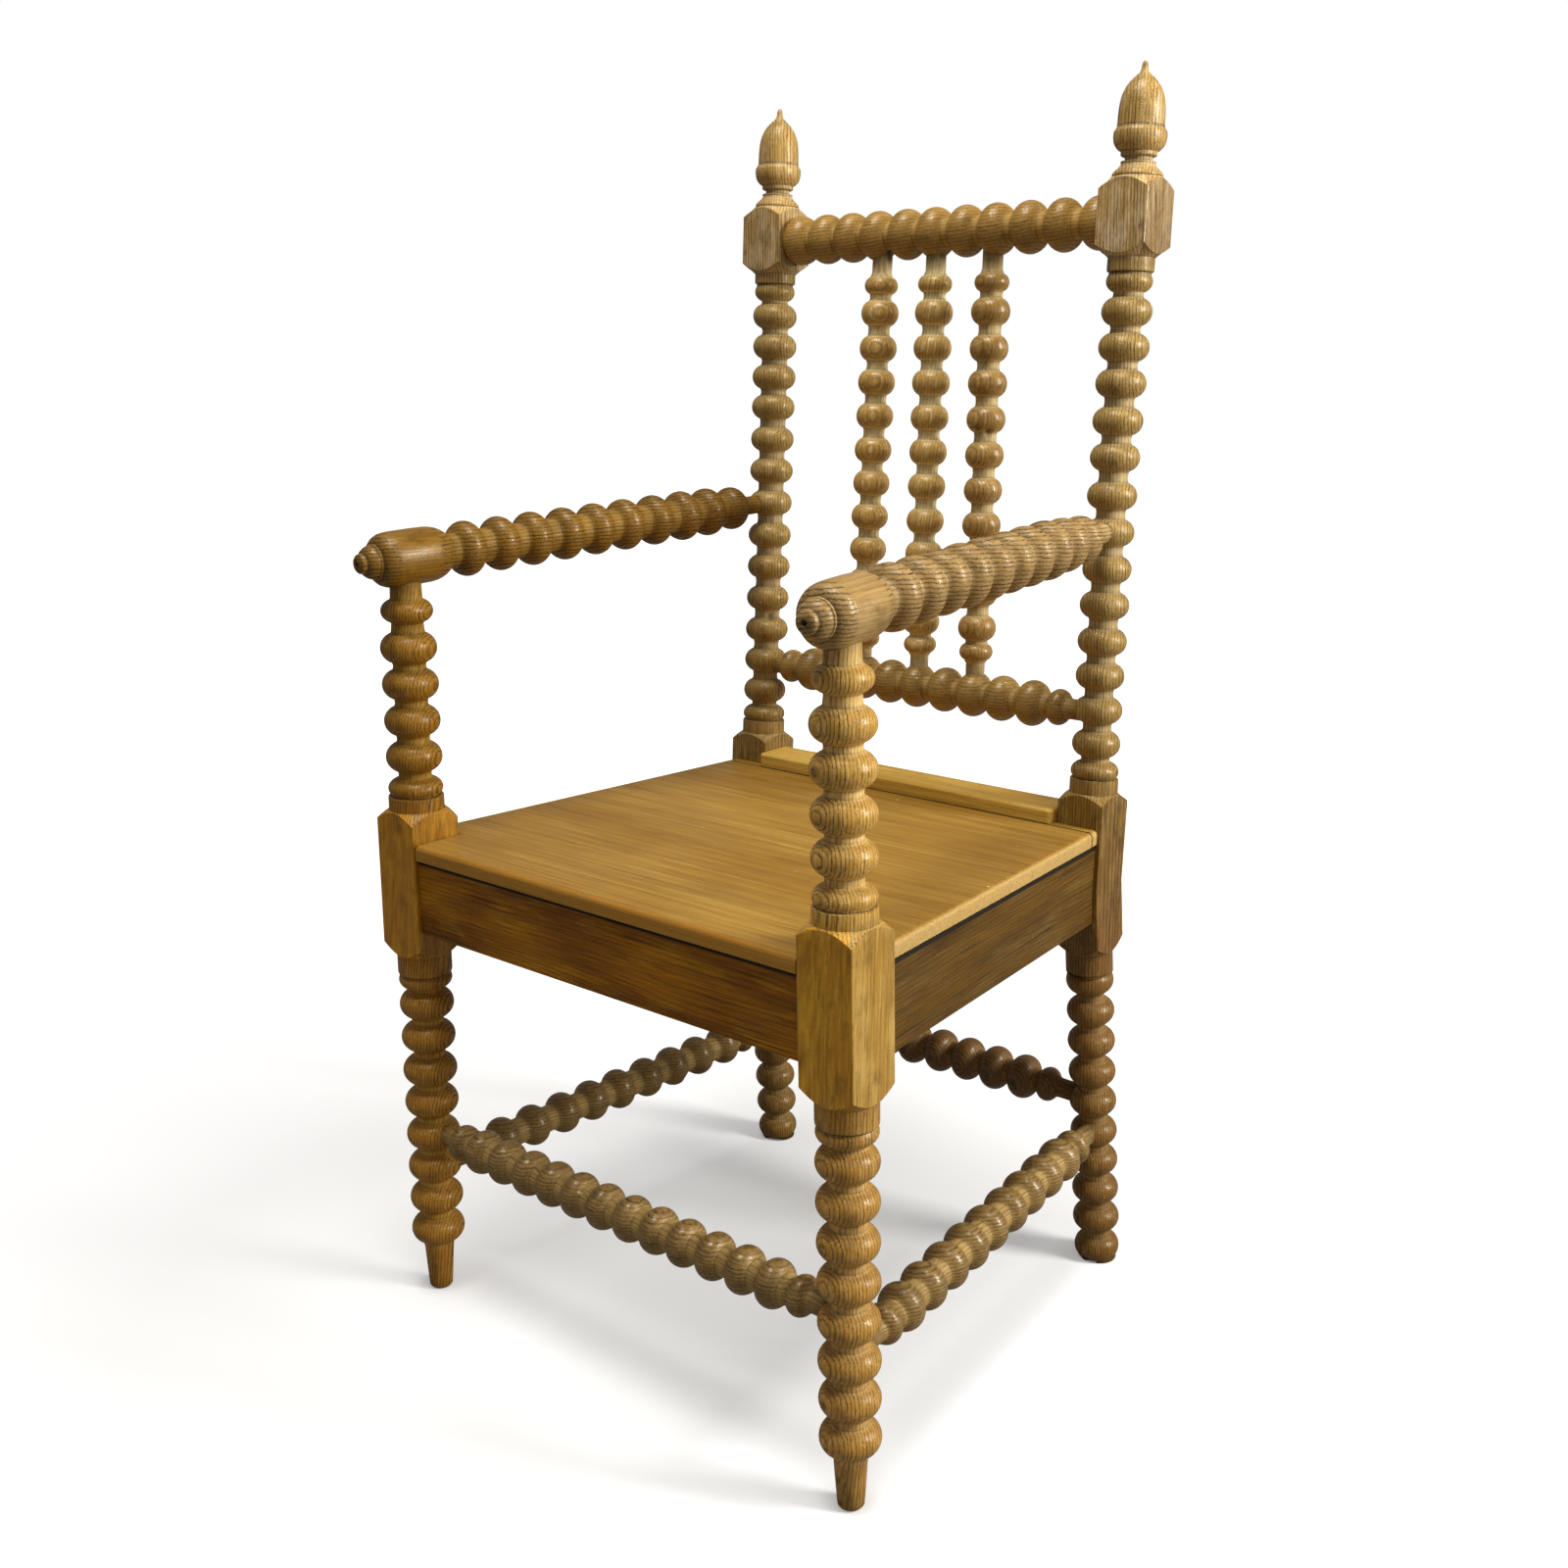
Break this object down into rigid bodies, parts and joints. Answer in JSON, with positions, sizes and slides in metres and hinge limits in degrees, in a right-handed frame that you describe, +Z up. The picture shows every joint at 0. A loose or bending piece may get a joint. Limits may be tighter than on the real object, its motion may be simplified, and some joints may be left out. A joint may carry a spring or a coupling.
{
  "type": "armchair",
  "caption": "Bobbin-turned oak armchair with a plank seat, a spindle back between acorn-topped posts, turned arms and bobbin stretchers.",
  "frame": {"origin": "on the floor, under the middle of the chair's bounding box", "axes": "+Z up, the sitter faces -Y, and +X is the sitter's left"},
  "size_m": [0.5452, 0.5182, 1.098],
  "materials": {
    "oak_post": "waxed oak with open grain, worn pale at the necks and edges",
    "oak_arm": "waxed oak with open grain, satin",
    "oak_back": "waxed oak, darker and glossier on the bellies of the bobbins",
    "oak_seat": "waxed honey-coloured plank, satin",
    "oak_rail": "waxed brown oak plank, satin",
    "oak_stretcher": "waxed dark oak, glossy bellies",
    "oak_inner": "bare sawn oak"
  },
  "bodies": {
    "root": {"acorn_finial_left": "oak_post", "acorn_finial_right": "oak_post", "arm_left": "oak_arm", "arm_right": "oak_arm", "back_batten": "oak_seat", "back_post_left": "oak_post", "back_post_right": "oak_post", "back_seat_rail": "oak_rail", "back_spindle_1": "oak_back", "back_spindle_2": "oak_back", "back_spindle_3": "oak_back", "back_stretcher": "oak_stretcher", "corner_block_back_left": "oak_inner", "corner_block_back_right": "oak_inner", "corner_block_front_left": "oak_inner", "corner_block_front_right": "oak_inner", "crest_rail": "oak_back", "front_post_left": "oak_post", "front_post_right": "oak_post", "front_seat_rail": "oak_rail", "front_stretcher": "oak_stretcher", "lower_back_rail": "oak_back", "seat_board": "oak_seat", "side_seat_rail_left": "oak_rail", "side_seat_rail_right": "oak_rail", "side_stretcher_left": "oak_stretcher", "side_stretcher_right": "oak_stretcher"}
  },
  "joints": []
}
